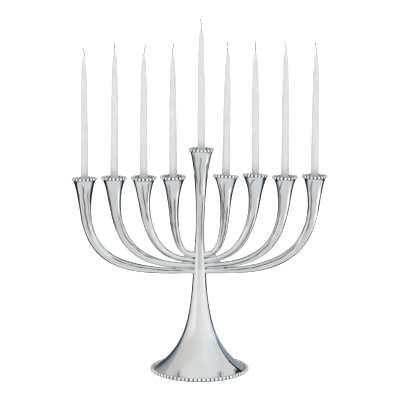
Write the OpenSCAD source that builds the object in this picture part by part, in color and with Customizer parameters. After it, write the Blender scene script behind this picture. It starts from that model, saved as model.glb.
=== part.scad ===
// Menorah: a bell foot and stem that carry a taller middle candle cup (the shamash)
// and eight curved branches with flared cups, beaded rims and taper candles.
// Millimetres, +Z up. The origin is the centre of the foot on the table. +X runs along
// the row of cups, to the right for someone who faces the front, which is the -Y side.

/* [Row of cups] */
// Distance from the stem's axis to the innermost cups
inner_reach = 31.2; // [30.5:0.1:33]
// Distance between neighbouring cups on one side
cup_pitch = 35.1; // [34.5:0.1:37]
// Height of the branch cups' bead rings above the table
cup_height = 236; // [230:1:245]
// Height of the middle cup's bead ring above the table
shamash_height = 269; // [262:1:285]
// Lean of the middle horn towards +X, in degrees
shamash_lean = 1.1; // [0:0.1:1.5]

/* [Cups] */
// Radius of a cup's lip
lip_r = 14.4; // [14.2:0.1:14.8]
// Radius of the drip dish's edge
dish_r = 12.6; // [12:0.1:12.8]
// Depth of the drip dish below the lip
dish_depth = 2.4; // [1.5:0.1:3]
// Radius of the candle socket
socket_r = 5.1; // [5:0.05:5.4]
// Depth of the socket's floor below the lip
socket_depth = 8.7; // [7:0.1:12]

/* [Beaded rims] */
// Radius of the circle through the beads of a cup
cup_beads_r = 13.8; // [13.6:0.1:14]
// Radius of one bead on a cup
cup_bead_r = 2; // [1.8:0.05:2.1]
// Number of beads round a cup
cup_beads = 20; // [16:1:20]
// Height of the bead centres above a cup's lip
bead_lift = 1.3; // [1:0.1:1.6]
// Radius of the circle through the beads of the foot
foot_beads_r = 57.1; // [56.8:0.1:57.3]
// Radius of one bead on the foot
foot_bead_r = 2.45; // [2.3:0.05:2.5]
// Number of beads round the foot
foot_beads = 72; // [60:1:72]

/* [Branches] */
// Height of the lowest, outermost branches' centre where they leave the stem
junction_low = 122.7; // [122:0.1:124]
// Distance from one branch up to the next where they leave the stem
junction_pitch = 6.5; // [6.4:0.1:6.8]
// Radius of a branch where it leaves the stem
branch_root_r = 3.1; // [2.8:0.05:3.15]
// Radius of the innermost branches at their thickest, below the cup's flare
branch_mid_r = 4.6; // [4.2:0.1:4.8]
// How much thicker each branch is than its inner neighbour
branch_mid_step = 0.33; // [0.2:0.01:0.4]
// Length over which the cup's flare falls away down the branch
cup_flare = 21; // [18:1:24]

/* [Foot and stem] */
// Radius of the foot's rim
foot_r = 55; // [54.5:0.1:55.2]
// Height of the bell foot above the felt
bell_height = 111.2; // [108:0.1:112]
// Radius that the bell narrows towards
neck_r = 6.4; // [6.2:0.1:7]
// Length over which the bell's flare falls away up the stem
bell_flare = 34.7; // [34:0.1:36]
// Wall thickness of the bell
bell_wall = 2.6; // [2:0.1:3]
// Radius of the stem under the middle horn
stem_top_r = 6.1; // [5.8:0.1:6.4]
// Height of the stem piece that the branches join
stem_height = 36; // [35:1:38]
// Thickness of the felt ring under the rim
felt_t = 0.8; // [0.5:0.1:1.5]
// Radius of the threaded stud
stud_r = 3; // [2.5:0.5:3]

/* [Candles] */
// Length of the wax of an average candle
wax_length = 156; // [120:1:165]
// Radius of a candle at its base
candle_r = 4.78; // [4.4:0.01:4.85]
// Radius of the wick
wick_r = 0.65; // [0.5:0.05:0.8]
// Length of wick above the wax
wick_length = 12; // [6:0.5:14]

/* [Hidden] */
$fn = 64;
eps = 0.01;
sides = ["left", "right"];

// Hand work leaves each branch a little different. One row is one side, inner to outer.
// Height of each cup against the average
cup_rise = [[0.2, -0.8, -0.8, -2.1], [1.1, 2.2, 0.1, 1.2]];
// How square each branch's bend is: 2 is an ellipse, a larger number a tighter corner
bend_power = [[3.5, 2.75, 2.95, 3.5], [3.35, 2.6, 2.95, 3.15]];
// Each candle: how much longer its wax is, its lean towards +X in degrees, and how far
// its wick's end leans and its middle bows towards +X
candle_makes = [
    [[0.5, -0.1, 1.2, 0], [-0.7, 0.3, 2, 0.3], [1.5, 0.7, -0.5, 0], [-2.4, 0.2, -1.5, 1]],
    [[1.4, 0.8, -0.5, -1], [0.8, -0.2, 0, 0.1], [2.4, 0, -1.8, 0.8], [1.3, 0.3, -2, 0]]
];
shamash_make = [-3.1, 0, -0.8, 0];

// Foot and stem
bell_flare_r = 52.7;
bell_top = felt_t + bell_height;
rim_top = -bell_flare * ln((foot_r - neck_r) / bell_flare_r);
rim_wall = 4.5;
ceiling_z = 84;
stem_base_r = bell_r(bell_top);
stem_top = bell_top + stem_height;
stud_low = 76.5;
stud_high = bell_top + 14.5;
stud_gap = 0.2;
washer_r = 7;
washer_t = 1.2;
nut_flats = 10;
nut_t = 5;
foot_wire_r = 1.3;

// Cups
dish_sphere_r = (dish_r * dish_r + dish_depth * dish_depth) / (2 * dish_depth);
cup_wire_r = 1.1;
lip_curl = 0.7;
lip_curl_length = 1.2;

// Branches
branch_sides = 20;
branch_rings = 38;
branch_start = 4;
branch_step = 10;
branch_growth = 40;

// Middle horn
horn_length = (shamash_height - bead_lift - stem_top) / cos(shamash_lean);
horn_waist_r = 3.9;
horn_flare = 38;
horn_base_flare = 18;

// Candles
tip_r = 1.2;
tip_swell = 1.5;
tip_length = 5;
taper_length = 45;
candle_lift = 0.15;

SHARED = ["foot_bell", "foot_bead_ring", "foot_felt_ring", "stem_stud", "stem_washer",
    "stem_nut", "stem_hub", "shamash_horn", "shamash_bead_ring", "candle_shamash",
    "wick_shamash"];

// Radius of the bell's outside at height z
function bell_r(z) = neck_r + bell_flare_r * exp(-z / bell_flare);

// Distance of cup number 1 to 4 from the stem's axis
function reach(number) = inner_reach + cup_pitch * (number - 1);

// Height of the centre line of branch number 1 to 4 where it leaves the stem
function junction_z(number) = junction_low + junction_pitch * (4 - number);

// Height of a cup's lip; side 0 is the left
function lip_z(side, number) = cup_height + cup_rise[side][number - 1] - bead_lift;

// Radius of candle wax at a distance below its tip
function wax_r(below) = tip_r + tip_swell * (1 - exp(-below / tip_length))
    + (candle_r - tip_r - tip_swell) * (1 - exp(-below / taper_length))
    / (1 - exp(-wax_length / taper_length));

// The centre line of a branch is a quarter of a superellipse: [reach, depth below the lip]
function branch_line(width, height, power) = [for (i = [0:branch_rings])
    let (start = atan(branch_start / width),
        turn = start + (90 - start) * (1 - pow(1 - i / branch_rings, 1.3)),
        size = pow(pow(sin(turn), power) + pow(cos(turn), power), -1 / power))
    [width * size * sin(turn), i == branch_rings ? 0 : height * size * cos(turn)]];

// Radius of branch number 1 to 4 a given way along it and depth below its lip
function branch_r(number, along, depth) =
    let (mid = branch_mid_r + branch_mid_step * (number - 1),
        growth = branch_growth + branch_step * (number - 1))
    branch_root_r + (mid - branch_root_r) * (1 - exp(-pow(along / growth, 2)))
    + (lip_r - lip_curl - mid) * exp(-depth / cup_flare)
    + lip_curl * exp(-depth / lip_curl_length);

// A round bar of changing radius along a line in the XZ plane, from rings of points
module swept_bar(line, radii, count) {
    last = len(line) - 1;
    function ahead(i) = line[min(i + 1, last)] - line[max(i - 1, 0)];
    function across(i) = [-ahead(i)[1], ahead(i)[0]] / norm(ahead(i));
    points = [for (i = [0:last], j = [0:count - 1])
        let (way = across(i), turn = 360 * j / count)
        [line[i][0] + radii[i] * cos(turn) * way[0], radii[i] * sin(turn),
            line[i][1] + radii[i] * cos(turn) * way[1]]];
    skin = [for (i = [0:last - 1], j = [0:count - 1])
        let (k = (j + 1) % count)
        [i * count + j, i * count + k, (i + 1) * count + k, (i + 1) * count + j]];
    first_cap = [for (j = [count - 1:-1:0]) j];
    last_cap = [for (j = [0:count - 1]) last * count + j];
    polyhedron(points, [each skin, first_cap, last_cap]);
}

// The drip dish and candle socket, cut down from a lip at the origin
module cup_hollow() {
    translate([0, 0, dish_sphere_r - dish_depth]) sphere(dish_sphere_r);
    translate([0, 0, -socket_depth]) cylinder(h = socket_depth, r = socket_r);
}

// Beads strung on a wire bent into a ring
module bead_ring(ring_r, bead_r, count, wire_r) {
    for (i = [0:count - 1]) rotate([0, 0, 360 * i / count]) translate([ring_r, 0, 0]) sphere(bead_r);
    rotate_extrude() translate([ring_r, 0]) circle(wire_r);
}

// A cup's bead ring, flattened underneath where it is soldered to the lip at the origin
module cup_bead_ring() {
    difference() {
        translate([0, 0, bead_lift]) bead_ring(cup_beads_r, cup_bead_r, cup_beads, cup_wire_r);
        translate([0, 0, -5]) cylinder(h = 5, r = cup_beads_r + 5);
    }
}

// Moves its children from the origin to the lip of one of the eight branch cups
module at_lip(side, number) {
    translate([(2 * side - 1) * reach(number), 0, lip_z(side, number)]) children();
}

// Moves its children from the origin to the lip of the middle cup
module at_shamash_lip() {
    translate([0, 0, stem_top]) rotate([0, shamash_lean, 0]) translate([0, 0, horn_length]) children();
}

// The hollow bell foot, with a solid neck that the stud passes through
module foot_bell() {
    steps = 26;
    outer = [for (i = [0:steps]) let (z = rim_top + (bell_top - rim_top) * i / steps) [bell_r(z), z]];
    inner_start = -bell_flare * ln((foot_r - rim_wall + bell_wall - neck_r) / bell_flare_r);
    inner = [for (i = [steps:-1:0]) let (z = inner_start + (ceiling_z - inner_start) * i / steps)
        [bell_r(z) - bell_wall, z]];
    color("silver") difference() {
        rotate_extrude() polygon([[0, felt_t], [foot_r, felt_t], each outer, [0, bell_top]]);
        rotate_extrude() polygon([[0, ceiling_z], each inner, [foot_r - rim_wall, 0], [0, 0]]);
        cylinder(h = bell_top + 1, r = stud_r + stud_gap);
    }
}

// The beaded wire round the foot, fitted to the rim's outside
module foot_bead_ring() {
    color("gainsboro") difference() {
        translate([0, 0, felt_t + foot_bead_r]) bead_ring(foot_beads_r, foot_bead_r, foot_beads, foot_wire_r);
        cylinder(h = 3 * foot_bead_r, r = foot_r);
    }
}

// The felt ring glued under the rim
module foot_felt_ring() {
    color("dimgray") difference() {
        cylinder(h = felt_t, r = foot_r - 0.4);
        translate([0, 0, -1]) cylinder(h = felt_t + 2, r = foot_r - rim_wall + 0.4);
    }
}

// The threaded stud that draws the stem down on the bell
module stem_stud() {
    color("darkgray") translate([0, 0, stud_low]) cylinder(h = stud_high - stud_low, r = stud_r);
}

// The washer under the bell's ceiling
module stem_washer() {
    color("lightgray") translate([0, 0, ceiling_z - washer_t]) difference() {
        cylinder(h = washer_t, r = washer_r);
        translate([0, 0, -1]) cylinder(h = washer_t + 2, r = stud_r + stud_gap);
    }
}

// The hexagon nut on the stud
module stem_nut() {
    color("lightgray") translate([0, 0, ceiling_z - washer_t - nut_t]) difference() {
        cylinder(h = nut_t, r = nut_flats / 2 / cos(30), $fn = 6);
        translate([0, 0, -1]) cylinder(h = nut_t + 2, r = stud_r);
    }
}

// The tapered part of the stem that the branches are joined to
module stem_hub() {
    color("silver") difference() {
        stem_cone();
        translate([0, 0, bell_top]) cylinder(h = stud_high - bell_top, r = stud_r);
    }
}

module stem_cone() {
    translate([0, 0, bell_top]) cylinder(h = stem_height, r1 = stem_base_r, r2 = stem_top_r);
}

// The middle horn, which holds the shamash candle above the others
module shamash_horn() {
    steps = 26;
    base_swell = stem_top_r - horn_waist_r;
    flare_r = lip_r - lip_curl - horn_waist_r;
    side = [for (i = [0:steps])
        let (z = horn_length * (1 - pow(1 - i / steps, 1.4)), depth = horn_length - z)
        [horn_waist_r + flare_r * exp(-depth / horn_flare) + base_swell * exp(-z / horn_base_flare)
            + lip_curl * exp(-depth / lip_curl_length), z]];
    color("silver") difference() {
        translate([0, 0, stem_top]) rotate([0, shamash_lean, 0])
            rotate_extrude() polygon([[0, -1], [side[0][0], -1], each side, [0, horn_length]]);
        at_shamash_lip() cup_hollow();
        translate([-20, -20, stem_top - 10]) cube([40, 40, 10]);
    }
}

module shamash_bead_ring() {
    color("gainsboro") at_shamash_lip() cup_bead_ring();
}

// A branch and its cup: one bent, tapering bar whose end flares into a horn
module branch(side, number) {
    top = lip_z(side, number);
    line = branch_line(reach(number), top - junction_z(number), bend_power[side][number - 1]);
    along = [for (point = line) point[0] + line[0][1] - point[1]];
    radii = [for (i = [0:branch_rings]) branch_r(number, along[i], line[i][1])];
    color("silver") difference() {
        mirror([1 - side, 0, 0]) translate([0, 0, top])
            swept_bar([for (point = line) [point[0], -point[1]]], radii, branch_sides);
        stem_cone();
        at_lip(side, number) cup_hollow();
    }
}

// A hand-dipped taper candle, standing on the socket's floor at the origin
module candle(make) {
    length = wax_length + make[0];
    steps = 16;
    side = [for (i = [0:steps]) let (below = length * pow(i / steps, 1.6)) [wax_r(below), length - below]];
    color("white") difference() {
        rotate_extrude() polygon([[0, length], each side, [0, 0]]);
        translate([0, 0, -1]) cylinder(h = length + 2, r = wick_r);
    }
}

// A candle's wick: straight through the wax, then bent as it was left above the tip
module wick(make) {
    length = wax_length + make[0];
    rings = 10;
    bent = [for (i = [0:rings]) let (u = i / rings)
        [make[2] * u * u + make[3] * sin(180 * u), length + wick_length * u]];
    line = [[0, eps], [0, length / 2], each bent];
    color("lightgray") swept_bar(line, [for (point = line) wick_r - eps], 8);
}

// Moves and leans a candle or a wick from the origin into a branch cup's socket
module in_socket(side, number) {
    lean = candle_makes[side][number - 1][1];
    at_lip(side, number) translate([0, 0, candle_lift - socket_depth]) rotate([0, lean, 0]) children();
}

// Moves a candle or a wick from the origin into the middle cup's socket
module in_shamash_socket() {
    at_shamash_lip() translate([0, 0, candle_lift - socket_depth]) rotate([0, -shamash_lean, 0]) children();
}

foot_bell();
foot_bead_ring();
foot_felt_ring();
stem_stud();
stem_washer();
stem_nut();
stem_hub();
shamash_horn();
shamash_bead_ring();
in_shamash_socket() candle(shamash_make);  // candle_shamash
in_shamash_socket() wick(shamash_make);  // wick_shamash
for (side = [0, 1], number = [1:4]) {
    make = candle_makes[side][number - 1];
    place = str("_", sides[side], "_", number);
    branch(side, number);
    color("gainsboro") at_lip(side, number) cup_bead_ring();
    in_socket(side, number) candle(make);
    in_socket(side, number) wick(make);
}
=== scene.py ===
import math
import random

import bmesh
import bpy
from mathutils import Matrix, Vector, noise


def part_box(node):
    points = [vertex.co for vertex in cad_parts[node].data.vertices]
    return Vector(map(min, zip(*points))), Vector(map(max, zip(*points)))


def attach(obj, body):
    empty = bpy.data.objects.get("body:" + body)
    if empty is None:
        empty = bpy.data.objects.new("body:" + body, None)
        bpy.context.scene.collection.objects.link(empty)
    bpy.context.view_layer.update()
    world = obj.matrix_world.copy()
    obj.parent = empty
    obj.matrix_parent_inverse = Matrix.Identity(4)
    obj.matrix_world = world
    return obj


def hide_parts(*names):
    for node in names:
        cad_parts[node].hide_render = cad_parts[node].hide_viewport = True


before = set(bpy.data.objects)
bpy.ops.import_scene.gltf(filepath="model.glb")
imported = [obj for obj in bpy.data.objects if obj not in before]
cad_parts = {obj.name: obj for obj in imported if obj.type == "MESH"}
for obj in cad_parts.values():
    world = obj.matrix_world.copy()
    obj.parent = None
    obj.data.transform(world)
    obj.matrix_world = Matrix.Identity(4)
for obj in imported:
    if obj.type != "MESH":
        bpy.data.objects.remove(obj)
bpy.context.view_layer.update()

# ---------------------------------------------------------------------------------------
# Camera. A 198 mm lens 2.58 m in front of the object and 0.66 m above the table, square to
# the row of cups and dipped by 10 degrees.
camera_dip = 9.99


def added(name, data):
    """A new object in the scene, of that name."""
    made = bpy.data.objects.new(name, data)
    bpy.context.scene.collection.objects.link(made)
    return made


camera_data = bpy.data.cameras.new("camera")
camera_data.lens = 198.4
camera_data.sensor_width = 36
camera_data.clip_end = 100
camera = added("camera", camera_data)
camera.location = (0.0006, -2.58, 0.663)
camera.rotation_euler = (math.radians(90 - camera_dip), 0, 0)
bpy.context.scene.camera = camera

# ---------------------------------------------------------------------------------------
# Floor. A plain white sheet, 60 m square, that glows enough to carry no shadow. Polished
# metal doesn't mirror it.
floor_size = 60


def new_material(name):
    """A new material, its node tree and its shader."""
    material = bpy.data.materials.new(name)
    material.use_nodes = True
    return material, material.node_tree, material.node_tree.nodes["Principled BSDF"]


floor_mesh = bpy.data.meshes.new("floor")
floor_bm = bmesh.new()
bmesh.ops.create_grid(floor_bm, x_segments=1, y_segments=1, size=floor_size / 2)
floor_bm.to_mesh(floor_mesh)
floor_bm.free()
floor = added("floor", floor_mesh)
floor.visible_glossy = False
floor_paint, _, floor_shader = new_material("floor_paint")
floor_shader.inputs["Base Color"].default_value = (0.9, 0.9, 0.9, 1)
floor_shader.inputs["Roughness"].default_value = 1
floor_shader.inputs["Emission Color"].default_value = (1, 1, 1, 1)
floor_shader.inputs["Emission Strength"].default_value = 0.7
floor_mesh.materials.append(floor_paint)

# ---------------------------------------------------------------------------------------
# Studio. A pale room whose far side is black, so that bright metal gets a thin dark edge, with
# a pale window in the black for the view from behind. Two low cards curve round the back of
# the foot, and two soft lights hang in front and behind.
looking_dip = math.radians(12.5)
looking = Vector((0, math.cos(looking_dip), -math.sin(looking_dip)))
mirrored_brightness = 1.2
black = (0.024, 0.027, 0.032, 1)
window_pale = (0.74, 0.75, 0.76, 1)
window_rise = math.radians(9)
window_inner = math.radians(15)
window_outer = math.radians(25)
black_fade = 0.015
world = bpy.data.worlds.new("studio")
bpy.context.scene.world = world
world.use_nodes = True
studio = world.node_tree
studio.nodes.clear()


def studio_node(kind, *inputs, **settings):
    """A node of the studio's shader, with each input a value, a socket or None to leave it."""
    made = studio.nodes.new("ShaderNode" + kind)
    for name, value in settings.items():
        setattr(made, name, value)
    for place, value in enumerate(inputs):
        if isinstance(value, bpy.types.NodeSocket):
            studio.links.new(value, made.inputs[place])
        elif value is not None:
            made.inputs[place].default_value = value
    return made


def studio_ramp(position, stops, tint=(1, 1, 1)):
    """A smooth run of brightness along position, from (place, brightness) pairs."""
    made = studio_node("ValToRGB", position)
    ramp = made.color_ramp
    ramp.interpolation = "EASE"
    while len(ramp.elements) < len(stops):
        ramp.elements.new(0.5)
    for element, (place, bright) in zip(ramp.elements, stops):
        element.position = place
        element.color = (*(bright * part for part in tint), 1)
    return made.outputs["Color"]


def between(low, high):
    """How far the looking direction's height has risen from low to high, from 0 to 1."""
    made = studio_node("MapRange", height, low, high, 0.0, 1.0, interpolation_type="SMOOTHSTEP")
    return made.outputs["Result"]


def mixed(part, first, second):
    """A blend of two colours in the studio."""
    made = studio_node("Mix", data_type="RGBA")
    studio.links.new(part, made.inputs["Factor"])
    for name, value in (("A", first), ("B", second)):
        socket = [s for s in made.inputs if s.name == name and s.type == "RGBA"][0]
        if isinstance(value, bpy.types.NodeSocket):
            studio.links.new(value, socket)
        else:
            socket.default_value = value
    return [s for s in made.outputs if s.type == "RGBA"][0]


direction = studio_node("TexCoord").outputs["Generated"]
split = studio_node("SeparateXYZ", direction)
height = split.outputs["Z"]
backwards = studio_node("Math", split.outputs["Y"], -1.0, operation="MULTIPLY")
swing = studio_node("Math", split.outputs["X"], backwards.outputs[0], operation="ARCTAN2")
round_way = studio_node("Math", swing.outputs[0], 0.5 / math.pi, 0.5,
                        operation="MULTIPLY_ADD").outputs[0]
# round_way is 0.5 towards the camera, 0.25 at the left, 0.75 at the right, 0 and 1 behind
low_walls = studio_ramp(round_way, [
    (0.16, 0.60), (0.24, 0.92), (0.29, 0.72), (0.325, 0.66), (0.34, 0.34), (0.355, 0.66), (0.46, 0.66),
    (0.56, 0.64), (0.60, 0.70), (0.612, 0.42), (0.625, 0.74), (0.66, 0.80), (0.70, 1.35), (0.80, 1.35)])
middle_walls = studio_ramp(round_way, [
    (0.16, 0.58), (0.24, 0.74), (0.29, 0.84), (0.35, 0.90), (0.40, 0.88), (0.43, 0.74), (0.50, 0.79),
    (0.56, 0.83), (0.65, 0.88), (0.70, 0.92), (0.75, 0.89), (0.82, 0.78)])
high_walls = studio_ramp(round_way, [
    (0.16, 0.60), (0.33, 0.68), (0.45, 0.74), (0.50, 0.77), (0.61, 0.82), (0.70, 0.79), (0.80, 0.70)])
ceiling = (0.76, 0.765, 0.77, 1)
table = (0.68, 0.71, 0.73, 1)
lower_half = mixed(between(-0.17, -0.10), low_walls, middle_walls)
walls = mixed(between(0.25, 0.5), lower_half, high_walls)
walls_and_ceiling = mixed(between(0.80, 0.95), walls, ceiling)
warmth = studio_node("ValToRGB", round_way)
warmth.color_ramp.elements[0].position = 0.35
warmth.color_ramp.elements[0].color = (1.01, 0.995, 0.97, 1)
warmth.color_ramp.elements[1].position = 0.62
warmth.color_ramp.elements[1].color = (0.975, 1.0, 1.005, 1)
toned = studio_node("VectorMath", walls_and_ceiling, warmth.outputs["Color"],
                    operation="MULTIPLY").outputs["Vector"]
pale_room = mixed(between(-0.60, -0.35), table, toned)
# The black begins at an angle from the camera, as a part of a half turn, that depends on
# the height and, low down, on how far aside the direction is
half_height = studio_node("Math", height, 0.5, 0.5, operation="MULTIPLY_ADD").outputs[0]
edge_by_height = studio_ramp(half_height, [
    (0.0, 0.55), (0.42, 0.55), (0.455, 0.675), (0.60, 0.68), (0.64, 0.69), (0.685, 0.714), (0.82, 0.634),
    (0.90, 0.59), (0.95, 0.555), (1.0, 0.555)])
turned_away = studio_node("Math", swing.outputs[0], operation="ABSOLUTE").outputs[0]
aside = studio_node("MapRange", turned_away, math.radians(160), math.radians(145), 0.0, 0.03)
low_aside = studio_node("Math", aside.outputs["Result"], between(-0.28, -0.45), operation="MULTIPLY")
black_edge = studio_node("Math", edge_by_height, low_aside.outputs[0], operation="ADD").outputs[0]
black_full = studio_node("Math", black_edge, black_fade, operation="ADD").outputs[0]
facing = studio_node("VectorMath", direction, tuple(-looking), operation="DOT_PRODUCT")
turned = studio_node("Math", facing.outputs["Value"], operation="ARCCOSINE").outputs[0]
turn = studio_node("Math", turned, math.pi, operation="DIVIDE").outputs[0]
far_side = studio_node("MapRange", turn, black_edge, black_full, 0.0, 1.0).outputs["Result"]
window_way = (0.0, math.cos(window_rise), math.sin(window_rise))
window_near = studio_node("VectorMath", direction, window_way, operation="DOT_PRODUCT")
window = studio_node("MapRange", window_near.outputs["Value"], math.cos(window_outer),
                     math.cos(window_inner), 0.0, 1.0, interpolation_type="SMOOTHSTEP").outputs["Result"]
room = mixed(far_side, pale_room, mixed(window, black, window_pale))
# The camera itself sees plain white behind the object
seen_straight = studio_node("LightPath").outputs["Is Camera Ray"]
shown = mixed(seen_straight, room, (1.0, 1.0, 1.0, 1))
brightness = studio_node("Mix", data_type="FLOAT")
studio.links.new(seen_straight, brightness.inputs[0])
brightness.inputs[2].default_value = mirrored_brightness
brightness.inputs[3].default_value = 1.0
background = studio_node("Background", shown, brightness.outputs[0])
studio_node("OutputWorld", background.outputs[0])

card_r = 0.082
card_height = 0.054


def curved_card(name, ends, colours):
    """A card curved round the back of the foot, seen only in polished metal. Its ends are in
    degrees from straight behind, and its colours are (part of the way round, colour) pairs."""
    start, end = (math.radians(turn) for turn in ends)
    bm = bmesh.new()
    edge_x, edge_y = card_r * math.sin(end), card_r * math.cos(end)
    bm.edges.new([bm.verts.new((edge_x, edge_y, z)) for z in (0, card_height)])
    bmesh.ops.spin(bm, geom=bm.verts[:] + bm.edges[:], axis=(0, 0, 1), cent=(0, 0, 0),
                   angle=end - start, steps=64)
    mesh = bpy.data.meshes.new(name)
    bm.to_mesh(mesh)
    bm.free()
    card = added(name, mesh)
    card.visible_camera = False
    card.visible_diffuse = False
    card.visible_transmission = False
    card.visible_shadow = False
    paint, tree, shader = new_material(name + "_paint")
    shader.inputs["Base Color"].default_value = (0, 0, 0, 1)
    shader.inputs["Specular IOR Level"].default_value = 0
    shader.inputs["Emission Strength"].default_value = 1.0
    place, split_place, card_turn, across, ramp = (tree.nodes.new("ShaderNode" + kind) for kind in (
        "TexCoord", "SeparateXYZ", "Math", "MapRange", "ValToRGB"))
    card_turn.operation = "ARCTAN2"
    across.inputs["From Min"].default_value = start
    across.inputs["From Max"].default_value = end
    while len(ramp.color_ramp.elements) < len(colours):
        ramp.color_ramp.elements.new(0.5)
    for element, (stop, colour) in zip(ramp.color_ramp.elements, colours):
        element.position = stop
        element.color = (*colour, 1)
    for output, socket in ((place.outputs["Object"], split_place.inputs[0]),
                           (split_place.outputs["X"], card_turn.inputs[0]),
                           (split_place.outputs["Y"], card_turn.inputs[1]),
                           (card_turn.outputs[0], across.inputs["Value"]),
                           (across.outputs["Result"], ramp.inputs[0]),
                           (ramp.outputs["Color"], shader.inputs["Emission Color"])):
        tree.links.new(output, socket)
    mesh.materials.append(paint)


curved_card("left_card", (-82, -26), (
    (0.0, (0.50, 0.54, 0.56)), (0.165, (0.40, 0.46, 0.50)), (0.33, (0.24, 0.31, 0.37)),
    (0.47, (0.06, 0.08, 0.10)), (1.0, (0.07, 0.09, 0.12))))
curved_card("right_card", (29, 72), (
    (0.0, (0.28, 0.38, 0.48)), (0.86, (0.31, 0.41, 0.51)), (0.90, (0.012, 0.012, 0.014))))

lit_point = Vector((0, 0, 0.2))
for name, energy, place in (("softbox", 2.5, (-0.4, -1.5, 1.5)), ("back_softbox", 5.0, (0.4, 1.5, 1.2))):
    softbox_data = bpy.data.lights.new(name, "AREA")
    softbox_data.shape = "RECTANGLE"
    softbox_data.size = 1.6
    softbox_data.size_y = 1.0
    softbox_data.energy = energy
    softbox = added(name, softbox_data)
    softbox.location = place
    softbox.rotation_euler = (lit_point - softbox.location).to_track_quat("-Z", "Y").to_euler()
    softbox.visible_glossy = False
bpy.context.scene.view_settings.view_transform = "Standard"

# ---------------------------------------------------------------------------------------
# Foot. A hollow bell cast in aluminium, turned to an even wall, then polished by hand until
# the old casting shows only as long soft ripples. Its solid neck is bored for the stud.
mm = 0.001
foot_low, foot_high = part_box("foot_bell")
foot_rim_r = (foot_high.x - foot_low.x) / 2
bell_neck_r = 6.4 * mm
bell_flare_r = 52.7 * mm
bell_flare_length = 34.7 * mm
bell_wall = 2.6 * mm
rim_wall = 4.5 * mm
bell_ceiling = 84 * mm
stud_hole_r = 3.2 * mm
ripple_depth = 0.16 * mm
ripple_length = 17 * mm
fine_ripple_depth = 0.03 * mm
fine_ripple_length = 6 * mm
still_at_rim = 12 * mm
still_at_neck = 6 * mm


def bell_r(z):
    """Radius of the bell's outside at height z."""
    return bell_neck_r + bell_flare_r * math.exp(-z / bell_flare_length)


def bell_height_at(radius):
    """Height at which the bell's outside has a radius."""
    return -bell_flare_length * math.log((radius - bell_neck_r) / bell_flare_r)


def steps(start, end, count):
    """count + 1 evenly spaced values from start to end."""
    return [start + (end - start) * i / count for i in range(count + 1)]


def closed_outline(bm, profile):
    """The vertices of a closed line in the XZ plane through (radius, height) points."""
    verts = [bm.verts.new((profile[0][0], 0, profile[0][1]))]
    for radius, z in profile[1:]:
        pulled = bmesh.ops.extrude_vert_indiv(bm, verts=[verts[-1]])["verts"][0]
        pulled.co = (radius, 0, z)
        verts.append(pulled)
    bm.edges.new((verts[-1], verts[0]))
    return verts


def turned_piece(name, profile, facets=128):
    """A mesh turned about the Z axis from a closed profile of (radius, height) points."""
    bm = bmesh.new()
    closed_outline(bm, profile)
    bmesh.ops.spin(bm, geom=bm.verts[:] + bm.edges[:], axis=(0, 0, 1), cent=(0, 0, 0),
                   angle=2 * math.pi, steps=facets, use_merge=True)
    bmesh.ops.remove_doubles(bm, verts=bm.verts[:], dist=1e-6)
    bmesh.ops.recalc_face_normals(bm, faces=bm.faces[:])
    return finished(name, bm)


def finished(name, bm, sharp_from=math.radians(38)):
    """Turns a bmesh into an object of that name, smooth but for edges sharper than an angle."""
    mesh = bpy.data.meshes.new(name)
    bm.to_mesh(mesh)
    bm.free()
    mesh.polygons.foreach_set("use_smooth", [True] * len(mesh.polygons))
    mesh.set_sharp_from_angle(angle=sharp_from)
    return added(name, mesh)


rim_low = foot_low.z
rim_high = bell_height_at(foot_rim_r)
inner_low = bell_height_at(foot_rim_r - rim_wall + bell_wall)
soft = 0.5 * mm
bell_profile = [(foot_rim_r - soft, rim_low), (foot_rim_r - 0.15 * mm, rim_low + 0.15 * mm),
                (foot_rim_r, rim_low + soft), (foot_rim_r, rim_high - 0.3 * mm)]
bell_profile += [(bell_r(z), z) for z in steps(rim_high + 0.2 * mm, foot_high.z, 90)]
bell_profile += [(stud_hole_r, foot_high.z), (stud_hole_r, bell_ceiling)]
bell_profile += [(bell_r(z) - bell_wall, z) for z in steps(bell_ceiling, inner_low, 60)]
bell_profile += [(foot_rim_r - rim_wall, rim_low + soft), (foot_rim_r - rim_wall + soft, rim_low)]
foot = turned_piece("bell_foot", bell_profile, 160)


def ripple(place, size, seed):
    """Soft noise between about -1 and 1 that changes over a length of size metres."""
    return noise.noise(place / size + Vector((seed, seed * 0.7, seed * 1.3)))


for vert in foot.data.vertices:
    radius = math.hypot(vert.co.x, vert.co.y)
    free = min(1, max(0, (vert.co.z - rim_high) / still_at_rim))
    free *= min(1, (foot_high.z - vert.co.z) / still_at_neck)
    if radius > bell_r(vert.co.z) - 0.5 * bell_wall and free > 0:
        stretched = Vector((vert.co.x, vert.co.y, vert.co.z * 0.3))
        dent = ripple_depth * ripple(stretched, ripple_length, 3)
        dent += fine_ripple_depth * ripple(stretched, fine_ripple_length, 8)
        vert.co.x *= 1 + free * dent / radius
        vert.co.y *= 1 + free * dent / radius


def paint_node(tree, kind, inputs=(), **settings):
    """A node of a material; inputs are (name, value or socket) pairs."""
    made = tree.nodes.new("ShaderNode" + kind)
    for name, value in settings.items():
        setattr(made, name, value)
    for name, value in inputs:
        if isinstance(value, bpy.types.NodeSocket):
            tree.links.new(value, made.inputs[name])
        else:
            made.inputs[name].default_value = value
    return made


def two_colours(tree, along, low, high):
    """A blend along a value between two (place, colour) pairs."""
    ramp = paint_node(tree, "ValToRGB", [("Fac", along)])
    for element, (stop, colour) in zip(ramp.color_ramp.elements, (low, high)):
        element.position = stop
        element.color = (*colour, 1)
    return ramp.outputs["Color"]


# The near black that painted shade, and the darker strip up the front, are mixed towards
darkening_colour = (0.035, 0.036, 0.04)


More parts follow.
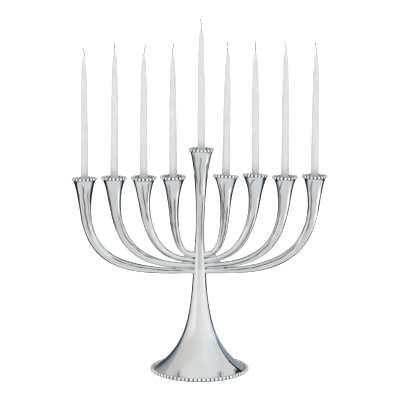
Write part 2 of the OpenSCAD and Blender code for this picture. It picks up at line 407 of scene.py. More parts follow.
def polished_metal(name, colour, dull_colour, gloss=(0.035, 0.10), dent=0.25, dent_size=14, pits=0.05):
    """Hand-polished aluminium: faint clouding, buffing haze, shallow dents and fine pits. It is
    painted darker towards near black, and made rougher, where the piece's own darkening
    attribute says: painted shade in creases, gaps and joints, and a darker strip up the front."""
    material, tree, shader = new_material(name)
    shader.inputs["Metallic"].default_value = 1
    place = paint_node(tree, "TexCoord").outputs["Object"]
    cloud = paint_node(tree, "TexNoise", [("Vector", place), ("Scale", 70.0), ("Detail", 5.0),
                                          ("Roughness", 0.6)]).outputs["Fac"]
    clouded = two_colours(tree, cloud, (0.30, dull_colour), (0.62, colour))
    painted_darkening = paint_node(tree, "Attribute", attribute_name="painted_darkening").outputs["Fac"]
    # Painted shade: the colour is mixed towards near black as the darkening attribute says
    darkened = paint_node(tree, "MixRGB", [("Fac", painted_darkening), ("Color1", clouded),
                                           ("Color2", (*darkening_colour, 1))]).outputs["Color"]
    tree.links.new(darkened, shader.inputs["Base Color"])
    buffed = paint_node(tree, "Mapping", [("Vector", place), ("Scale", (1.0, 1.0, 0.12))])
    haze = paint_node(tree, "TexNoise", [("Vector", buffed.outputs["Vector"]), ("Scale", 420.0),
                                         ("Detail", 4.0)]).outputs["Fac"]
    rough = paint_node(tree, "MapRange", [("Value", haze), ("From Min", 0.3), ("From Max", 0.75),
                                          ("To Min", gloss[0]), ("To Max", gloss[1])])
    roughened = paint_node(tree, "Math", [(0, painted_darkening), (1, 0.4), (2, rough.outputs["Result"])],
                            operation="MULTIPLY_ADD")
    tree.links.new(roughened.outputs[0], shader.inputs["Roughness"])
    dents = paint_node(tree, "TexNoise", [("Vector", place), ("Scale", 1000.0 / dent_size),
                                          ("Detail", 2.0), ("Roughness", 0.45)]).outputs["Fac"]
    shallow = paint_node(tree, "Bump", [("Height", dents), ("Strength", dent), ("Distance", 0.001)])
    pitting = paint_node(tree, "TexVoronoi", [("Vector", place), ("Scale", 900.0)],
                         feature="SMOOTH_F1").outputs["Distance"]
    pitted = paint_node(tree, "Bump", [("Height", pitting), ("Strength", pits), ("Distance", 0.0002),
                                       ("Normal", shallow.outputs["Normal"])])
    tree.links.new(pitted.outputs["Normal"], shader.inputs["Normal"])
    return material


bright_aluminium = polished_metal("bright_aluminium", (0.755, 0.76, 0.765), (0.715, 0.72, 0.73))
foot.data.materials.append(bright_aluminium)
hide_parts("foot_bell")
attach(foot, "stand")

# ---------------------------------------------------------------------------------------
# Foot's beads. Beaded wire, bent to a ring that fits round the rim and soldered to it. The
# beads were rolled in the wire, so each is a little different from the next.
beads_low, beads_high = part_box("foot_bead_ring")
foot_bead_r = (beads_high.z - beads_low.z) / 2
foot_bead_count = 72
foot_wire_r = 1.3 * mm
# The same aluminium with its colour raised to near white: a painted highlight, so the beads shine brighter
# than the rest
bead_aluminium_painted_bright = polished_metal("bead_aluminium_painted_bright", (0.99, 0.99, 0.99), (0.93, 0.935, 0.94),
                                  gloss=(0.05, 0.12), dent=0.15, dent_size=3)


def eased(value, low, high):
    """How far value is from low to high, from 0 to 1, with soft ends."""
    part = min(1, max(0, (value - low) / (high - low)))
    return part * part * (3 - 2 * part)


def beaded_ring(name, centre, ring_r, bead_r, count, wire_r, seed, joint):
    """A ring of beads on a wire round a centre, with the small unevenness of rolled beads. The
    wire between beads and each bead's sides towards the next get painted shade, and the beads
    on their joint side, (outward, upward), half as much."""
    chance = random.Random(seed)
    bm = bmesh.new()
    painted_darkening = bm.verts.layers.float.new("painted_darkening")
    wire = bmesh.ops.create_circle(bm, segments=10, radius=wire_r, matrix=(
        Matrix.Translation((ring_r, 0, 0)) @ Matrix.Rotation(math.pi / 2, 4, "X")))
    loop = list({edge for vert in wire["verts"] for edge in vert.link_edges})
    bmesh.ops.spin(bm, geom=wire["verts"] + loop, axis=(0, 0, 1), cent=(0, 0, 0),
                   angle=2 * math.pi, steps=max(64, 2 * count), use_merge=True)
    bmesh.ops.remove_doubles(bm, verts=bm.verts[:], dist=1e-6)
    # The whole wire between the beads gets full painted shade
    for vert in bm.verts:
        vert[painted_darkening] = 1
    for i in range(count):
        turn = 2 * math.pi * (i + chance.uniform(-0.06, 0.06)) / count
        size = bead_r * chance.uniform(0.93, 1.0)
        long = chance.uniform(0.98, 1.06)
        place = (Matrix.Rotation(turn, 4, "Z") @ Matrix.Translation((ring_r, 0, 0))
                 @ Matrix.Diagonal((size, size * long, size, 1)))
        bead = bmesh.ops.create_icosphere(bm, subdivisions=2, radius=1, matrix=place)
        unplace = place.inverted()
        # Painted shade on each bead's sides towards its neighbours, and half as much on its joint side
        for vert in bead["verts"]:
            on_bead = unplace @ vert.co
            beside = eased(abs(on_bead.y), 0.70, 1.0)
            joined = eased(on_bead.x * joint[0] + on_bead.z * joint[1], 0.7, 1)
            vert[painted_darkening] = max(beside, 0.5 * joined)
    bmesh.ops.recalc_face_normals(bm, faces=bm.faces[:])
    bmesh.ops.translate(bm, verts=bm.verts[:], vec=centre)
    return finished(name, bm)


foot_beads_centre = Vector((0, 0, (beads_low.z + beads_high.z) / 2))
foot_beads_r = (beads_high.x - beads_low.x) / 2 - foot_bead_r
foot_beads = beaded_ring("foot_beads", foot_beads_centre, foot_beads_r, foot_bead_r, foot_bead_count,
                         foot_wire_r, 11, (-1, 0))
foot_beads.data.materials.append(bead_aluminium_painted_bright)
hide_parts("foot_bead_ring")
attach(foot_beads, "stand")

# ---------------------------------------------------------------------------------------
# Felt ring. Black-green wool felt, punched as a ring and glued under the rim, so that the
# foot doesn't scratch the table. Its cut edge is soft and slightly furry.
felt_low, felt_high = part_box("foot_felt_ring")
felt_outer_r = (felt_high.x - felt_low.x) / 2
felt_inner_r = 50.9 * mm
felt_round = 0.2 * mm
fur_depth = 0.12 * mm
fur_length = 0.9 * mm
felt_profile = [(felt_inner_r + felt_round, felt_low.z), (felt_inner_r, felt_low.z + felt_round),
                (felt_inner_r, felt_high.z - felt_round), (felt_inner_r + felt_round, felt_high.z),
                (felt_outer_r - felt_round, felt_high.z), (felt_outer_r, felt_high.z - felt_round),
                (felt_outer_r, felt_low.z + felt_round), (felt_outer_r - felt_round, felt_low.z)]
felt = turned_piece("felt_ring", felt_profile, 320)
for vert in felt.data.vertices:
    fur = fur_depth * ripple(vert.co, fur_length, 5)
    radius = math.hypot(vert.co.x, vert.co.y)
    pull = 1 - math.copysign(abs(fur) / radius, radius - felt_inner_r - 1 * mm)
    vert.co.x *= pull
    vert.co.y *= pull
felt_cloth, felt_tree, felt_shader = new_material("wool_felt")
felt_shader.inputs["Roughness"].default_value = 0.95
felt_shader.inputs["Sheen Weight"].default_value = 0.4
felt_place = paint_node(felt_tree, "TexCoord").outputs["Object"]
fibres = paint_node(felt_tree, "TexNoise", [("Vector", felt_place), ("Scale", 1600.0),
                                            ("Detail", 6.0), ("Distortion", 1.5)]).outputs["Fac"]
felt_colour = two_colours(felt_tree, fibres, (0.35, (0.008, 0.012, 0.010)), (0.68, (0.030, 0.040, 0.034)))
felt_tree.links.new(felt_colour, felt_shader.inputs["Base Color"])
felt_bump = paint_node(felt_tree, "Bump", [("Height", fibres), ("Strength", 0.8),
                                           ("Distance", 0.0003)])
felt_tree.links.new(felt_bump.outputs["Normal"], felt_shader.inputs["Normal"])
felt.data.materials.append(felt_cloth)
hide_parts("foot_felt_ring")
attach(felt, "stand")

# ---------------------------------------------------------------------------------------
# Stud, washer and nut. Zinc-plated steel hardware inside the bell. The stud is screwed up
# into the stem and draws it down on the bell's ceiling.
stud_low, stud_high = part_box("stem_stud")
washer_low, washer_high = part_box("stem_washer")
nut_low, nut_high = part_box("stem_nut")
stud_r = (stud_high.x - stud_low.x) / 2
thread_pitch = 1 * mm
thread_depth = 0.55 * mm
zinc = polished_metal("zinc_plating", (0.66, 0.67, 0.69), (0.48, 0.49, 0.52), gloss=(0.22, 0.38), dent=0.1,
                      dent_size=3, pits=0.25)

stud_bm = bmesh.new()
core_r = stud_r - thread_depth
bmesh.ops.create_cone(stud_bm, cap_ends=True, segments=32, radius1=core_r, radius2=core_r,
                      depth=stud_high.z - stud_low.z,
                      matrix=Matrix.Translation((0, 0, (stud_low.z + stud_high.z) / 2)))
ridge_foot_r = core_r - 0.1 * mm
ridge_top_r = stud_r - 0.05 * mm
ridge = ((ridge_foot_r, 0), (ridge_top_r, 0.42 * mm), (ridge_top_r, 0.55 * mm), (ridge_foot_r, 0.97 * mm))
ridge_verts = closed_outline(stud_bm, [(radius, stud_low.z + rise) for radius, rise in ridge])
ridge_edges = list({edge for vert in ridge_verts for edge in vert.link_edges})
turns = int((stud_high.z - stud_low.z) / thread_pitch) - 1
turn_steps = 24
ridge_end = bmesh.ops.spin(stud_bm, geom=ridge_verts + ridge_edges, axis=(0, 0, 1), cent=(0, 0, 0),
                           dvec=(0, 0, thread_pitch / turn_steps), angle=2 * math.pi * turns,
                           steps=turn_steps * turns)["geom_last"]
last_edges = [part for part in ridge_end if isinstance(part, bmesh.types.BMEdge)]
bmesh.ops.contextual_create(stud_bm, geom=ridge_edges)
bmesh.ops.contextual_create(stud_bm, geom=last_edges)
bmesh.ops.recalc_face_normals(stud_bm, faces=stud_bm.faces[:])
stud = finished("threaded_stud", stud_bm)

washer_hole_r = 3.3 * mm
washer_r = (washer_high.x - washer_low.x) / 2
edge_round = 0.2 * mm
washer = turned_piece("plain_washer", [
    (washer_hole_r, washer_low.z + edge_round), (washer_hole_r + edge_round, washer_low.z),
    (washer_r - edge_round, washer_low.z), (washer_r, washer_low.z + edge_round), (washer_r, washer_high.z),
    (washer_hole_r, washer_high.z)], 64)

nut_half_flats = (nut_high.y - nut_low.y) / 2
nut_chamfer_slope = math.tan(math.radians(30))
nut_bore_r = 3.05 * mm
nut_rises = (0.0, 0.1, 0.5, 1.0, 2.5, 4.0, 4.5, 4.9, 5.0)
nut = turned_piece("hexagon_nut", [(nut_bore_r, nut_low.z)] + [
    (nut_half_flats, nut_low.z + rise * mm) for rise in nut_rises] + [(nut_bore_r, nut_high.z)], 144)
for vert in nut.data.vertices:
    radius = math.hypot(vert.co.x, vert.co.y)
    if radius < nut_bore_r + 0.1 * mm:
        continue
    aside = math.remainder(math.atan2(vert.co.y, vert.co.x) - math.pi / 2, math.pi / 3)
    from_end = min(vert.co.z - nut_low.z, nut_high.z - vert.co.z)
    flat_r = nut_half_flats / math.cos(aside)
    wanted = min(flat_r, nut_half_flats * 0.97 + from_end / nut_chamfer_slope)
    vert.co.x *= wanted / radius
    vert.co.y *= wanted / radius

for piece, node in ((stud, "stem_stud"), (washer, "stem_washer"), (nut, "stem_nut")):
    piece.data.materials.append(zinc)
    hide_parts(node)
    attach(piece, "stand")

# ---------------------------------------------------------------------------------------
# Stem. The tapered piece that stands on the bell. The branches and the middle horn are
# brazed to it, and the brazing is filed to soft fillets.
stem_low, stem_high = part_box("stem_hub")
stem_base_r = (stem_high.x - stem_low.x) / 2
stem_top_r = 6.1 * mm
bar_facets = 88
fold_width = 0.74 * mm
# A darker, duller strip painted up the front of the stem and the horn's root
front_strip_x = 0.4 * mm
front_strip_strength = 0.2


def bar_place(centre, along, radius, flatness=1):
    """The matrix that puts a unit circle round centre, facing along, and turned the same way
    for every ring of a bar that bends in the XZ plane. A flatness below 1 thins it in Y."""
    side = Vector((0, 1, 0))
    side = (side - along * side.dot(along)).normalized()
    turn = Matrix((side, along.cross(side), along)).transposed().to_4x4()
    return Matrix.Translation(centre) @ turn @ Matrix.Diagonal((radius * flatness, radius, radius, 1))


def crease_at(crease, below, seed):
    """Where a crease is round the bar and how strong, at a distance below the bar's lip."""
    top_turn, low_turn, start, end, depth = crease
    part = (below / mm - start) / (end - start)
    if not 0 < part < 1:
        return 0, 0, 0
    wander = 9 * noise.noise(Vector((below / (13 * mm), seed, top_turn)))
    strength = eased(part, 0, 0.1) * (1 - eased(part, 0.7, 1))
    strength *= 0.95 + 0.6 * noise.noise(Vector((below / (7 * mm), low_turn, seed)))
    return math.radians(top_turn + (low_turn - top_turn) * part + wander), min(1, strength), depth * mm


def drawn_bar(name, rings, seed, wave=0.035, wave_length=38 * mm, facets=bar_facets, skip=0, creases=(),
              stained=None):
    """A round bar drawn out from ring to ring; each ring is (centre, along, radius). Hand work
    leaves waves along it, except in its last skip rings, and creases: narrow folds that run
    down from the lip, as (turn at the top, turn at the bottom, start, end, depth), in degrees
    from the front and mm, each also darkened with painted shade. The last argument, a function
    of a point, adds more painted darkening anywhere on the bar."""
    bm = bmesh.new()
    painted_darkening = bm.verts.layers.float.new("painted_darkening")
    before = bar_place(*rings[0])
    circle = bmesh.ops.create_circle(bm, cap_ends=True, segments=facets, radius=1, matrix=before)["verts"]
    edges = bm.edges[:]
    loops = [circle]
    for ring in rings[1:]:
        pulled = bmesh.ops.extrude_edge_only(bm, edges=edges)["geom"]
        loops.append([part for part in pulled if isinstance(part, bmesh.types.BMVert)])
        edges = [part for part in pulled if isinstance(part, bmesh.types.BMEdge)]
        place = bar_place(*ring)
        bmesh.ops.transform(bm, matrix=place @ before.inverted(), verts=loops[-1])
        before = place
    bmesh.ops.contextual_create(bm, geom=edges)
    worked = len(rings) - skip
    lengths = [(rings[i][0] - rings[i - 1][0]).length for i in range(1, worked)]
    drawn = 0
    for i in range(worked):
        drawn += lengths[i - 1] if i else 0
        below = sum(lengths) - drawn
        place = bar_place(*rings[i])
        unplace = place.inverted()
        folds = [crease_at(crease, below, seed) for crease in creases]
        for vert in loops[i]:
            round_bar = unplace @ vert.co
            far = Vector((0, 0, drawn / wave_length + seed))
            swell = wave * noise.noise(round_bar * 0.9 + far)
            swell += 0.6 * wave * noise.noise(round_bar * 2.2 + far * 2.3)
            turn = math.atan2(-round_bar.y, -round_bar.x)
            for fold_turn, strength, depth in folds:
                aside = math.remainder(turn - fold_turn, 2 * math.pi) * rings[i][2]
                near = strength * math.exp(-(aside / fold_width) ** 2)
                swell -= near * depth / rings[i][2]
                # Painted shade along each crease
                vert[painted_darkening] = max(vert[painted_darkening], near)
            if stained:
                vert[painted_darkening] = max(vert[painted_darkening], stained(vert.co))
            vert.co = place @ (round_bar * (1 + swell))
    bmesh.ops.recalc_face_normals(bm, faces=bm.faces[:])
    return finished(name, bm)


def front_dark_strip(point):
    """A darker, duller strip painted up the front of the stem and the horn's root."""
    part = 1 - eased(abs(point.x - front_strip_x), 1.4 * mm, 3.2 * mm)
    rise = eased(point.z, 123 * mm, 128 * mm) * (1 - eased(point.z, 165 * mm, 200 * mm))
    return front_strip_strength * part * rise * (point.y < 0)


up = Vector((0, 0, 1))
stem_rings = []
for z in steps(stem_low.z, stem_high.z, 36):
    part = (z - stem_low.z) / (stem_high.z - stem_low.z)
    stem_rings.append((Vector((0, 0, z)), up, stem_base_r + (stem_top_r - stem_base_r) * part))
stem = drawn_bar("stem", stem_rings, 2.0, wave=0.008, stained=front_dark_strip)
stem.data.materials.append(bright_aluminium)
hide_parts("stem_hub")
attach(stem, "stand")

# ---------------------------------------------------------------------------------------
# Middle horn. A bar cast with the cup on its end, flaring up to the lip, with a shallow drip
# dish and a drilled candle socket. It stands on the stem piece and leans a little.
shamash_lean = math.radians(1.1)
horn_mid_r = 3.9 * mm
horn_flare = 9.8 * mm
horn_flare_length = 38 * mm
horn_fillet = 2.2 * mm
horn_fillet_length = 18 * mm
lip_r = 14.4 * mm
lip_curl = 0.7 * mm
lip_curl_length = 1.2 * mm
dish_r = 12.6 * mm
dish_depth = 2.4 * mm
dish_sphere_r = (dish_r ** 2 + dish_depth ** 2) / (2 * dish_depth)
socket_r = 5.1 * mm
socket_depth = 8.7 * mm
horn_length = (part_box("shamash_horn")[1].z - stem_high.z) / math.cos(shamash_lean)


def dish_rings():
    """(height above the lip, radius) rings over the lip's edge, down the dish, into the socket."""
    rings = [(-0.04 * mm, lip_r - 0.12 * mm), (0, lip_r - 0.3 * mm), (0, dish_r + 0.2 * mm)]
    for radius in steps(dish_r - 0.2 * mm, socket_r + 0.5 * mm, 9):
        rings.append((dish_sphere_r - dish_depth - math.sqrt(dish_sphere_r ** 2 - radius ** 2), radius))
    rings += [(-dish_depth - 0.15 * mm, socket_r + 0.1 * mm), (-dish_depth - 0.6 * mm, socket_r)]
    return rings + [(-socket_depth, socket_r), (-socket_depth, 0.2 * mm)]


def horn_r(up_horn):
    """Radius of the middle horn at a distance up it from the stem."""
    depth = horn_length - up_horn
    return (horn_mid_r + horn_flare * math.exp(-depth / horn_flare_length)
            + horn_fillet * math.exp(-up_horn / horn_fillet_length)
            + lip_curl * math.exp(-depth / lip_curl_length))


horn_axis = Vector((math.sin(shamash_lean), 0, math.cos(shamash_lean)))
horn_foot = Vector((0, 0, stem_high.z))
horn_rings = []
for part in steps(0, 1, 90):
    up_horn = horn_length * (1 - (1 - part) ** 1.4)
    horn_rings.append((horn_foot + horn_axis * up_horn, horn_axis, horn_r(up_horn)))
shamash_lip = horn_foot + horn_axis * horn_length
for rise, radius in dish_rings():
    horn_rings.append((shamash_lip + horn_axis * rise, horn_axis, radius))
horn_creases = ((-4, -12, 4, 60, 0.12), (-46, -38, 2, 45, 0.1), (30, 24, 50, 118, 0.08))
horn = drawn_bar("shamash_horn_and_cup", horn_rings, 5.3, wave=0.05, wave_length=45 * mm,
                 skip=len(dish_rings()) + 1, creases=horn_creases, stained=front_dark_strip)
horn.data.materials.append(bright_aluminium)
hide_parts("shamash_horn")
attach(horn, "stand")

# ---------------------------------------------------------------------------------------
# Branches. Each is one bar, cast with the cup on its end, bent by hand to a square-shouldered
# quarter turn and brazed to the stem. No two bends and no two cups are quite alike.
junction_low = 122.7 * mm
junction_pitch = 6.5 * mm
branch_root_r = 3.1 * mm
branch_mid_r = 4.6 * mm
branch_mid_step = 0.33 * mm
cup_flare = 21 * mm
root_fillet = 1.3 * mm
root_fillet_length = 3 * mm
sides = ("left", "right")
bend_power = {"left": (3.5, 2.75, 2.95, 3.5), "right": (3.35, 2.6, 2.95, 3.15)}
# Creases left by the bending, as drawn_bar takes them, from the innermost branch outwards; drawn_bar also
# paints shade along them
bend_creases = {
    "left": (((-48, -30, 2, 95, 0.22), (-22, -40, 3, 70, 0.2), (14, 8, 20, 90, 0.15)),
             ((-12, 26, 2, 62, 0.2), (36, 30, 1, 30, 0.15), (-40, -10, 60, 150, 0.2)),
             ((-50, -42, 3, 70, 0.2), (24, 36, 40, 130, 0.15)),
             ((-8, 12, 2, 75, 0.22), (30, 38, 8, 60, 0.2), (28, 10, 100, 210, 0.16))),
    "right": (((-10, -24, 2, 90, 0.22), (-38, -30, 4, 60, 0.18), (20, 30, 30, 110, 0.15)),
              ((-42, -36, 2, 70, 0.2), (22, 10, 40, 130, 0.16), (-6, -44, 1, 14, 0.2)),
              ((-44, -34, 4, 90, 0.2), (-14, -44, 1, 15, 0.2), (-30, 24, 70, 180, 0.16)),
              ((-30, -14, 4, 85, 0.22), (-16, -40, 1, 16, 0.2), (-34, -10, 80, 200, 0.2)))}
# How far each cup's mouth is tipped away from the front and towards +X, in degrees
cup_tips = {"left": ((-1.5, 0.5), (-2.0, 0.0), (1.0, 0.5), (2.3, -1.3)),
            "right": ((5.5, 3.0), (5.0, 2.5), (0.0, 0.0), (0.0, 0.5))}


def lip_of(side, number):
    """The centre of a branch cup's lip."""
    low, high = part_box(f"bead_ring_{side}_{number}")
    return Vector(((low.x + high.x) / 2, (low.y + high.y) / 2, low.z))


def branch_r(number, along, depth):
    """Radius of branch 1 to 4 a given way along it and depth below its lip."""
    mid = branch_mid_r + branch_mid_step * (number - 1)
    growth = (40 + 10 * (number - 1)) * mm
    return (branch_root_r + (mid - branch_root_r) * (1 - math.exp(-(along / growth) ** 2))
            + (lip_r - lip_curl - mid) * math.exp(-depth / cup_flare)
            + lip_curl * math.exp(-depth / lip_curl_length)
            + root_fillet * math.exp(-max(0, along - 6 * mm) / root_fillet_length))


def branch_rings(side, number):
    """The rings of a branch from inside the stem to its cup's lip."""
    lip = lip_of(side, number)
    reach = abs(lip.x)
    outward = math.copysign(1, lip.x)
    drop = lip.z - (junction_low + junction_pitch * (4 - number))
    power = bend_power[side][number - 1]
    start = math.atan(4 * mm / reach)
    line = []
    for part in steps(0, 1, 110):
        turn = start + (math.pi / 2 - start) * (1 - (1 - part) ** 1.3)
        size = (math.sin(turn) ** power + max(0, math.cos(turn)) ** power) ** (-1 / power)
        line.append((reach * size * math.sin(turn), drop * size * max(0, math.cos(turn))))
    tip_back, tip_right = (math.radians(tip) for tip in cup_tips[side][number - 1])
    rings = []
    for i, (out, depth) in enumerate(line):
        behind, ahead = line[max(i - 1, 0)], line[min(i + 1, len(line) - 1)]
        along = Vector((outward * (ahead[0] - behind[0]), 0, behind[1] - ahead[1])).normalized()
        near_cup = math.exp(-depth / (16 * mm))
        along = Matrix.Rotation(tip_right * near_cup, 3, "Y") @ along
        along = Matrix.Rotation(-tip_back * near_cup, 3, "X") @ along
        radius = branch_r(number, out + drop - depth, depth)
        rings.append((Vector((outward * out, lip.y, lip.z - depth)), along, radius))
    return rings


bent = {(side, number): branch_rings(side, number) for side in sides for number in range(1, 5)}


def branch_at(side, number, reach):
    """Height of a branch's centre line, and its radius, at a distance out from the stem."""
    rings = bent[side, number]
    for (behind, _, behind_r), (ahead, _, ahead_r) in zip(rings, rings[1:]):
        if abs(ahead.x) >= reach > abs(behind.x):
            part = (reach - abs(behind.x)) / (abs(ahead.x) - abs(behind.x))
            return behind.z + (ahead.z - behind.z) * part, behind_r + (ahead_r - behind_r) * part
    return rings[0][0].z, rings[0][2]


branch_root = 4.2 * mm
braze_end = 34 * mm
braze_reach = {"left": (19 * mm, 20 * mm, 29 * mm), "right": (20 * mm, 25 * mm, 31 * mm)}
braze_steps = 24
braze_paths = {}
for side in sides:
    for number in range(1, 5):
        braze_paths[side, number] = [branch_at(side, number, reach)
                                     for reach in steps(branch_root, braze_end, braze_steps)]


def branch_gap_shade(side, number):
    """Painted shade beside the brazing, where one branch runs close by the next, in noisy
    blotches: a function of a point on one branch, from 0 to 1.
    """

    def stain(point):
        place = (abs(point.x) - branch_root) / (braze_end - branch_root) * braze_steps
        if not 0 <= place < braze_steps:
            return 0
        near = 0
        for other in (number - 1, number + 1):
            if (side, other) not in braze_paths:
                continue
            reach = braze_reach[side][min(number, other) - 1]
            level, radius = braze_paths[side, other][int(place)]
            gap = math.hypot(point.y, point.z - level) - radius
            fade = 1 - eased(abs(point.x), reach - 2 * mm, reach + 3 * mm)
            # Painted shade where this branch comes within about 2 mm of the next
            patch = 1.05 + 1.8 * noise.noise(point / (2.4 * mm))
            near = max(near, patch * fade * (1 - eased(gap, 0.5 * mm, 1.9 * mm)))
        return min(1, near)

    return stain


for side in sides:
    for number in range(1, 5):
        rings = list(bent[side, number])
        lip, mouth, _ = rings[-1]
        cup = dish_rings()
        for rise, radius in cup:
            facing = mouth if rise > -dish_depth - 0.1 * mm else up
            rings.append((lip + facing * rise, facing, radius))
        seed = 10.0 * number + (4.5 if side == "left" else 7.1)
        branch = drawn_bar(f"branch_and_cup_{side}_{number}", rings, seed, wave=0.055, skip=len(cup) + 1,
                           creases=bend_creases[side][number - 1], stained=branch_gap_shade(side, number))
        branch.data.materials.append(bright_aluminium)
        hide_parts(f"branch_{side}_{number}")
        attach(branch, "stand")

# ---------------------------------------------------------------------------------------
# Brazing. Filler metal that ran into the narrow wedges between one branch and the next by
# the stem. It was only brushed, so it stays lumpy and a little grey.
brazing_grey = polished_metal("brushed_brazing", (0.66, 0.67, 0.68), (0.34, 0.35, 0.36),
                              gloss=(0.14, 0.30), dent=0.9, dent_size=2.2, pits=0.3)
for side in sides:
    for number in range(1, 4):
        reach = braze_reach[side][number - 1]
        seed = 40.0 + number + (3.7 if side == "left" else 0)
        outward = -1 if side == "left" else 1
        rings = []
        for x in steps(3 * mm, reach, 40):
            upper = branch_at(side, number, max(x, branch_root))
            lower = branch_at(side, number + 1, max(x, branch_root))
            level = (upper[0] + lower[0]) / 2
            lumps = noise.noise(Vector((x / (2.6 * mm), seed, 0)))
            tall = 0.42 * (upper[0] - lower[0]) + 0.2 * mm * lumps
            end = 1 - eased(x, reach - 4 * mm, reach + 1 * mm)
            thin = (2.5 + 0.45 * lumps) * mm * (0.35 + 0.65 * end) / tall
            rings.append((Vector((outward * x, 0, level)), Vector((outward, 0, 0)), tall, thin))
        web = drawn_bar(f"brazing_{side}_{number}", rings, seed, wave=0.14, wave_length=3 * mm, facets=36)
        web.data.materials.append(brazing_grey)
        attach(web, "stand")

# ---------------------------------------------------------------------------------------
# Cups' beads. Beaded wire again, in a finer gauge, bent to a ring and soldered on each lip.
cup_bead_r = 2 * mm
cup_wire_r = 1.1 * mm
bead_lift = 1.3 * mm
cup_beads = 20


def cup_bead_ring(node, name, lip, mouth, seed):
    """The beads on one cup, made level and then turned to face the way its mouth does."""
    low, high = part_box(node)
    ring_r = (high.y - low.y) / 2 - cup_bead_r
    centre = lip + mouth * bead_lift
    ring = beaded_ring(name, centre, ring_r, cup_bead_r, cup_beads, cup_wire_r, seed, (0, -1))
    turn = up.rotation_difference(mouth).to_matrix().to_4x4()
    ring.data.transform(Matrix.Translation(centre) @ turn @ Matrix.Translation(-centre))
    ring.data.materials.append(bead_aluminium_painted_bright)
    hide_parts(node)
    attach(ring, "stand")


cup_bead_ring("shamash_bead_ring", "cup_beads_shamash", shamash_lip, horn_axis, 21)
for side in sides:
    for number in range(1, 5):
        lip, mouth, _ = bent[side, number][-1]
        cup_bead_ring(f"bead_ring_{side}_{number}", f"cup_beads_{side}_{number}", lip, mouth,
                      30 + number + 10 * (side == "left"))

# ---------------------------------------------------------------------------------------
# Candles. Hand-dipped tapers of white wax: many thin coats, a little uneven, thinning to a
# rounded tip round the wick. Each stands loose in its socket.
candle_tip_r = 1.2 * mm
candle_tip_swell = 1.5 * mm
candle_tip_length = 5 * mm
candle_base_r = 4.78 * mm
candle_taper_length = 45 * mm


def ends_of(node):
    """The middle of the lowest and of the highest end of a CAD node that stands upright."""
    low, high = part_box(node)
    points = [vert.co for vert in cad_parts[node].data.vertices]
    middles = []
    for level in (low.z, high.z):
        near = [point for point in points if abs(point.z - level) < 0.3 * mm]
        middles.append(sum(near, Vector()) / len(near))
    return middles


def wax_r(below, length):
    """Radius of the wax at a distance below its tip."""
    fall = (1 - math.exp(-below / candle_taper_length)) / (1 - math.exp(-length / candle_taper_length))
    swell = candle_tip_swell * (1 - math.exp(-below / candle_tip_length))
    return candle_tip_r + swell + (candle_base_r - candle_tip_r - candle_tip_swell) * fall


def candle_wax():
    """White wax: light goes a little way in, the surface is satin with fine dipping marks."""
    material, tree, shader = new_material("white_wax")
    shader.inputs["Roughness"].default_value = 0.42
    shader.inputs["Subsurface Weight"].default_value = 0.35
    shader.inputs["Subsurface Radius"].default_value = (1.0, 0.85, 0.7)
    shader.inputs["Subsurface Scale"].default_value = 0.0025
    place = paint_node(tree, "TexCoord").outputs["Object"]
    drawn = paint_node(tree, "Mapping", [("Vector", place), ("Scale", (1.0, 1.0, 0.25))])
    cloud = paint_node(tree, "TexNoise", [("Vector", drawn.outputs["Vector"]), ("Scale", 260.0),
                                          ("Detail", 4.0)]).outputs["Fac"]
    whites = two_colours(tree, cloud, (0.35, (0.60, 0.608, 0.60)), (0.65, (0.655, 0.663, 0.655)))
    tree.links.new(whites, shader.inputs["Base Color"])
    bump = paint_node(tree, "Bump", [("Height", cloud), ("Strength", 0.2), ("Distance", 0.0005)])
    tree.links.new(bump.outputs["Normal"], shader.inputs["Normal"])
    return material


def wick_cotton():
    """Grey twisted cotton with a waxy film."""
    material, tree, shader = new_material("wick_cotton")
    shader.inputs["Roughness"].default_value = 0.8
    place = paint_node(tree, "TexCoord").outputs["Object"]
    threads = paint_node(tree, "TexNoise", [("Vector", place), ("Scale", 2400.0),
                                            ("Detail", 3.0)]).outputs["Fac"]
    greys = two_colours(tree, threads, (0.3, (0.16, 0.16, 0.17)), (0.7, (0.34, 0.34, 0.35)))
    tree.links.new(greys, shader.inputs["Base Color"])
    bump = paint_node(tree, "Bump", [("Height", threads), ("Strength", 0.5), ("Distance", 0.0002)])
    tree.links.new(bump.outputs["Normal"], shader.inputs["Normal"])
    return material


wax = candle_wax()
cotton = wick_cotton()
places = ["shamash"] + [f"{side}_{number}" for side in sides for number in range(1, 5)]
for order, place in enumerate(places):
    base, tip = ends_of(f"candle_{place}")
    axis = (tip - base).normalized()
    length = (tip - base).length
    rings = [(base + axis * 0.02 * mm, axis, candle_base_r - 0.5 * mm)]
    for part in steps(1, 0, 80):
        below = length * part ** 1.7
        rings.append((tip - axis * below, axis, wax_r(below, length)))
    rings.append((tip + axis * 0.25 * mm, axis, 0.75 * mm))
    candle = drawn_bar(f"dipped_candle_{place}", rings, 60.0 + 3.3 * order, wave=0.02, wave_length=30 * mm,
                       facets=40, skip=1)
    candle.data.materials.append(wax)
    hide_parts(f"candle_{place}")
    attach(candle, f"taper_{place}")

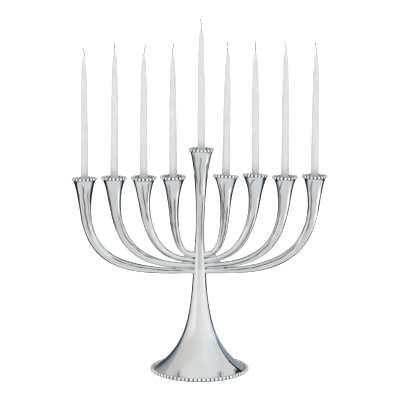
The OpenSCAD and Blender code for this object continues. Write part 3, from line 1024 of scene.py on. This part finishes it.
# ---------------------------------------------------------------------------------------
# Wicks. Three cotton strands twisted together, running down inside the wax, and left bent
# above it where the candle was hung and cut. The cut ends fray.
strand_r = 0.36 * mm
fray_length = 1 * mm
strand_count = 3
strand_offset = 0.34 * mm
twist_length = 4.5 * mm
inside_wax = 3 * mm


def wick_line(node, tip_z):
    """Points up the middle of a CAD wick from just inside the wax to its end."""
    level_height = 1.2 * mm
    points = [vert.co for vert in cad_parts[node].data.vertices if vert.co.z > tip_z - 0.5 * mm]
    line = []
    for level in sorted({round(point.z / level_height) for point in points}):
        near = [point for point in points if round(point.z / level_height) == level]
        line.append(sum(near, Vector()) / len(near))
    return line


for order, place in enumerate(places):
    base, tip = ends_of(f"candle_{place}")
    line = wick_line(f"wick_{place}", tip.z)
    line.insert(0, line[0] - (tip - base).normalized() * inside_wax)
    chance = random.Random(90 + order)
    strands = []
    for strand in range(strand_count):
        rings = []
        drawn = 0
        for i in range(len(line) - 1):
            for part in steps(0, 1, 6)[:-1]:
                centre = line[i].lerp(line[i + 1], part)
                along = (line[i + 1] - line[i]).normalized()
                turn = 2 * math.pi * (strand / strand_count + drawn / twist_length)
                centre += Vector((math.cos(turn), math.sin(turn), 0)) * strand_offset
                rings.append((centre, along, strand_r))
                drawn += (line[i + 1] - line[i]).length / 6
        end = rings[-1][0]
        fray = Vector((chance.uniform(-1, 1), chance.uniform(-1, 1), 2.5)).normalized()
        rings.append((end + fray * fray_length / 2, fray, strand_r * 0.8))
        rings.append((end + fray * fray_length, fray, strand_r * 0.35))
        strands.append(drawn_bar(f"strand_{strand}", rings, 70.0 + order, wave=0.1, wave_length=3 * mm,
                                 facets=8))
    wick = strands[0]
    bm = bmesh.new()
    for strand in strands:
        bm.from_mesh(strand.data)
    bm.to_mesh(wick.data)
    bm.free()
    wick.data.polygons.foreach_set("use_smooth", [True] * len(wick.data.polygons))
    wick.name = f"wick_strands_{place}"
    for strand in strands[1:]:
        bpy.data.objects.remove(strand)
    wick.data.materials.append(cotton)
    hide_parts(f"wick_{place}")
    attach(wick, f"taper_{place}")
